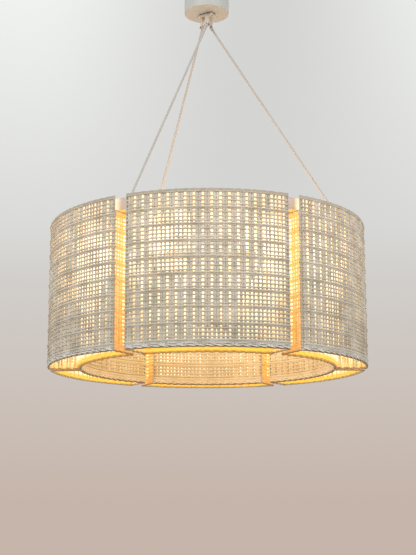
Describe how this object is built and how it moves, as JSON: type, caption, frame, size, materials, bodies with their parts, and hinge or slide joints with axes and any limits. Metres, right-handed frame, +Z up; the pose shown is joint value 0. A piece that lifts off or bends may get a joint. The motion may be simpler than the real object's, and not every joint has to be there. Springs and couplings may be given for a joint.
{
  "type": "ring chandelier",
  "caption": "Ceiling ring chandelier: woven-cord ring-sector shades on a painted ring channel, hung by straight rods from a swivelling hub under a round canopy",
  "frame": {"origin": "on the ceiling plane, on the chandelier's vertical axis", "axes": "+Z up; the front shade faces -Y; +X to the right seen from the front"},
  "size_m": [0.9132, 0.914, 1.155],
  "materials": {
    "white_paint": "satin white powder coat on sheet steel",
    "chrome_plate": "bright chrome plate on the pivot screws and the carrying nut",
    "zinc_plate": "plain zinc plate on hidden fixings",
    "woven_cord": "natural grey-beige twisted cord, woven open in a square lattice",
    "frame_wire": "off-white painted steel wire",
    "bulb_glass": "frosted glass, lit warm white",
    "porcelain": "white glazed ceramic",
    "wire_jacket": "white insulation"
  },
  "bodies": {
    "ceiling_mount": {"canopy_cover": "white_paint", "ceiling_strap": "zinc_plate", "stem_nipple": "zinc_plate", "stem_top_nut": "zinc_plate", "canopy_nut": "white_paint", "stem_carrying_nut": "chrome_plate", "terminal_block": "porcelain"},
    "hanging_ring": {"hub_bracket": "white_paint", "hub_plate_screw": "zinc_plate", "suspension_rod_right": "white_paint", "hub_pivot_screw_right": "chrome_plate", "ring_lug_right": "white_paint", "ring_pivot_screw_right": "chrome_plate", "suspension_rod_back_left": "white_paint", "hub_pivot_screw_back_left": "chrome_plate", "ring_lug_back_left": "white_paint", "ring_pivot_screw_back_left": "chrome_plate", "suspension_rod_front_left": "white_paint", "hub_pivot_screw_front_left": "chrome_plate", "ring_lug_front_left": "white_paint", "ring_pivot_screw_front_left": "chrome_plate", "ring_channel": "white_paint", "ring_cover": "white_paint", "ring_wiring": "wire_jacket", "lampholder_01": "porcelain", "bulb_01": "bulb_glass", "lampholder_02": "porcelain", "bulb_02": "bulb_glass", "lampholder_03": "porcelain", "bulb_03": "bulb_glass", "lampholder_04": "porcelain", "bulb_04": "bulb_glass", "lampholder_05": "porcelain", "bulb_05": "bulb_glass", "lampholder_06": "porcelain", "bulb_06": "bulb_glass", "lampholder_07": "porcelain", "bulb_07": "bulb_glass", "lampholder_08": "porcelain", "bulb_08": "bulb_glass", "lampholder_09": "porcelain", "bulb_09": "bulb_glass", "lampholder_10": "porcelain", "bulb_10": "bulb_glass", "lampholder_11": "porcelain", "bulb_11": "bulb_glass", "lampholder_12": "porcelain", "bulb_12": "bulb_glass", "shade_frame_1": "frame_wire", "woven_shade_1": "woven_cord", "shade_frame_2": "frame_wire", "woven_shade_2": "woven_cord", "shade_frame_3": "frame_wire", "woven_shade_3": "woven_cord", "shade_frame_4": "frame_wire", "woven_shade_4": "woven_cord", "shade_frame_5": "frame_wire", "woven_shade_5": "woven_cord", "shade_frame_6": "frame_wire", "woven_shade_6": "woven_cord"}
  },
  "joints": [
    {"name": "hub_swivel", "type": "hinge", "parent": "ceiling_mount", "child": "hanging_ring", "pos_m": [0, 0, -0.0656], "axis": [0, 0, 1], "range_deg": [-175, 175]}
  ]
}
